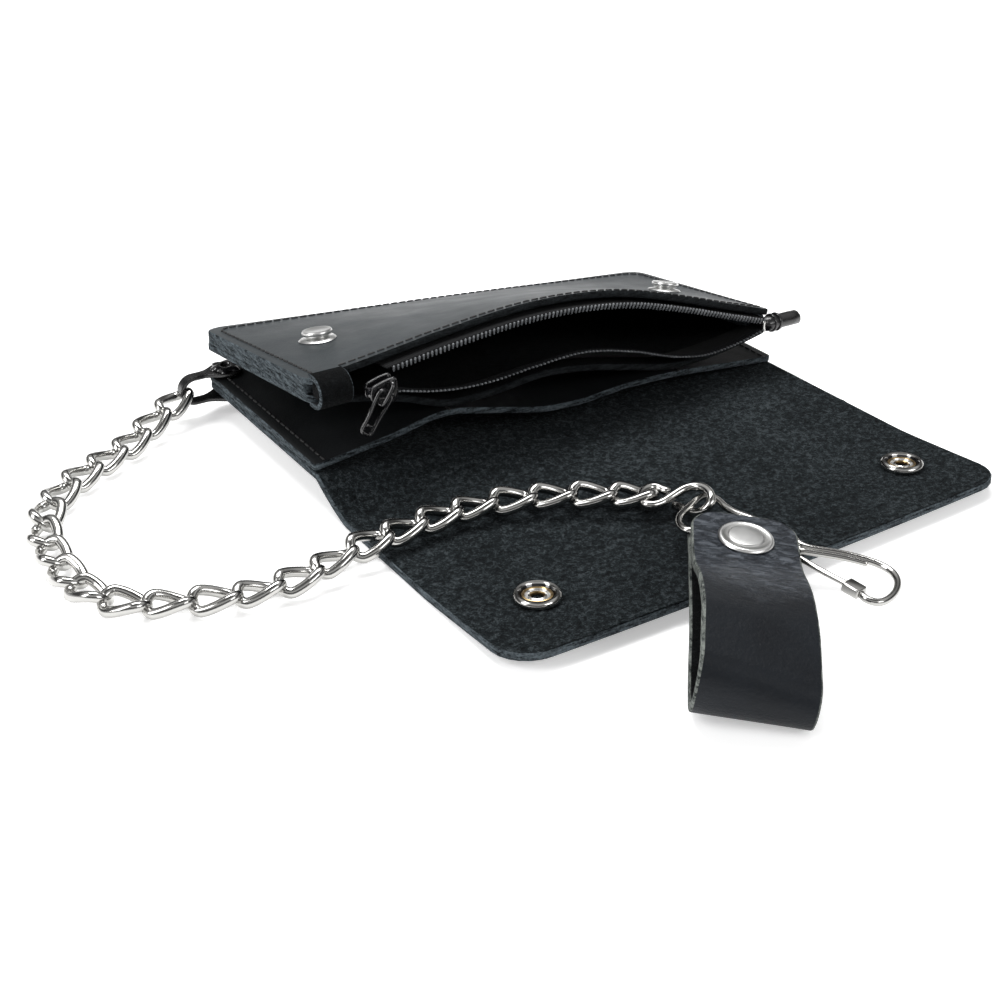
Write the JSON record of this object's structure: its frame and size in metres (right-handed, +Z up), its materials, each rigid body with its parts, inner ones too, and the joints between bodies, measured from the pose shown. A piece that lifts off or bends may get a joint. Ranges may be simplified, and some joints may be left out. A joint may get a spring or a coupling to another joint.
{
  "type": "chain wallet",
  "caption": "Long leather chain wallet shown open: snap flap, zipped coin pouch, bill and card pockets, curb chain with S-hook, wire snap clip and snap belt loop.",
  "frame": {"origin": "on the table under the middle of the open wallet, measured without the chain, the clip and the belt loop", "axes": "+X along the wallet's length towards the zip's right end, +Y from the flap towards the wallet's back edge, +Z up"},
  "size_m": [0.2703, 0.2373, 0.0457],
  "materials": {
    "cover_leather": "smooth black leather, satin, with a raw suede flesh side",
    "pouch_leather": "smooth dark grey leather, satin",
    "inner_leather": "smooth black leather with raw edges",
    "strap_leather": "blue-black strap leather, worn and waxy near the snap",
    "tab_vinyl": "glossy black coated leather",
    "nickel": "bright nickel plate",
    "gunmetal": "gloss black plate",
    "zip_tape": "woven black zip tape",
    "zip_coil": "black nylon coil"
  },
  "bodies": {
    "wallet": {"cover_back": "cover_leather", "cover_fold": "cover_leather", "bill_leaf": "inner_leather", "pouch_bottom": "inner_leather", "pouch_top": "pouch_leather", "side_welt_left": "inner_leather", "side_welt_right": "inner_leather", "back_welt": "inner_leather", "snap_stud_left": "nickel", "snap_stud_right": "nickel", "stud_rivet_left": "nickel", "stud_rivet_right": "nickel", "zip_tape_upper": "zip_tape", "zip_tape_lower": "zip_tape", "zip_teeth_upper": "zip_coil", "zip_teeth_lower": "zip_coil", "zip_tab_left": "inner_leather", "zip_tab_right": "tab_vinyl", "chain_tab": "tab_vinyl", "tab_eyelet": "gunmetal", "chain_links": "nickel", "s_hook": "nickel"},
    "spine": {"cover_spine": "cover_leather", "cover_bridge": "cover_leather"},
    "flap": {"cover_flap": "cover_leather", "snap_socket_left": "nickel", "snap_socket_right": "nickel", "snap_cap_left": "nickel", "snap_cap_right": "nickel"},
    "slider": {"zip_slider": "gunmetal"},
    "pull": {"zip_pull": "gunmetal"},
    "clip": {"clip_frame": "nickel", "belt_loop_back": "strap_leather", "belt_loop_turn": "strap_leather", "belt_loop_stud": "nickel", "belt_loop_fold": "strap_leather"},
    "gate": {"clip_gate": "nickel"},
    "loop_front": {"belt_loop_front": "strap_leather", "belt_loop_cap": "nickel"}
  },
  "joints": [
    {"name": "flap_lower", "type": "hinge", "parent": "wallet", "child": "spine", "pos_m": [0, 0.00027, 0.003], "axis": [-1, 0, 0], "range_deg": [0, 90], "deforming": ["cover_fold", "chain_links", "s_hook", "clip_frame", "clip_gate", "belt_loop_back", "belt_loop_turn", "belt_loop_stud", "belt_loop_fold", "belt_loop_front", "belt_loop_cap"]},
    {"name": "flap_upper", "type": "hinge", "parent": "spine", "child": "flap", "pos_m": [0, -0.04373, 0.003], "axis": [-1, 0, 0], "range_deg": [0, 90], "deforming": ["cover_bridge"]},
    {"name": "zip_slide", "type": "slide", "parent": "wallet", "child": "slider", "axis": [0.996, 0, -0.089], "range_m": [0, 0.146], "deforming": ["zip_tape_upper", "zip_tape_lower", "zip_teeth_upper", "zip_teeth_lower"]},
    {"name": "zip_pull_swing", "type": "hinge", "parent": "slider", "child": "pull", "pos_m": [-0.0686, 0.00652, 0.0335], "axis": [-0.8415, 0, 0.5402], "range_deg": [0, 160]},
    {"name": "clip_lift", "type": "hinge", "parent": "wallet", "child": "clip", "pos_m": [0.00138, -0.0569, 0.00838], "axis": [-0.771, 0.6312, 0.0848], "range_deg": [0, 60], "deforming": ["s_hook"]},
    {"name": "clip_gate_press", "type": "hinge", "parent": "clip", "child": "gate", "pos_m": [0.00084, -0.09517, 0.00886], "axis": [-0.0529, 0.0692, -0.9962], "range_deg": [-14, 0], "stiffness_Nm_per_rad": 0.02},
    {"name": "loop_open", "type": "hinge", "parent": "clip", "child": "loop_front", "pos_m": [-0.05254, -0.1342, 0.00507], "axis": [0.771, -0.6312, -0.0848], "range_deg": [0, 30]}
  ],
  "couplings": [
    {"joint": "flap_upper", "follows": "flap_lower", "ratio": 1}
  ]
}
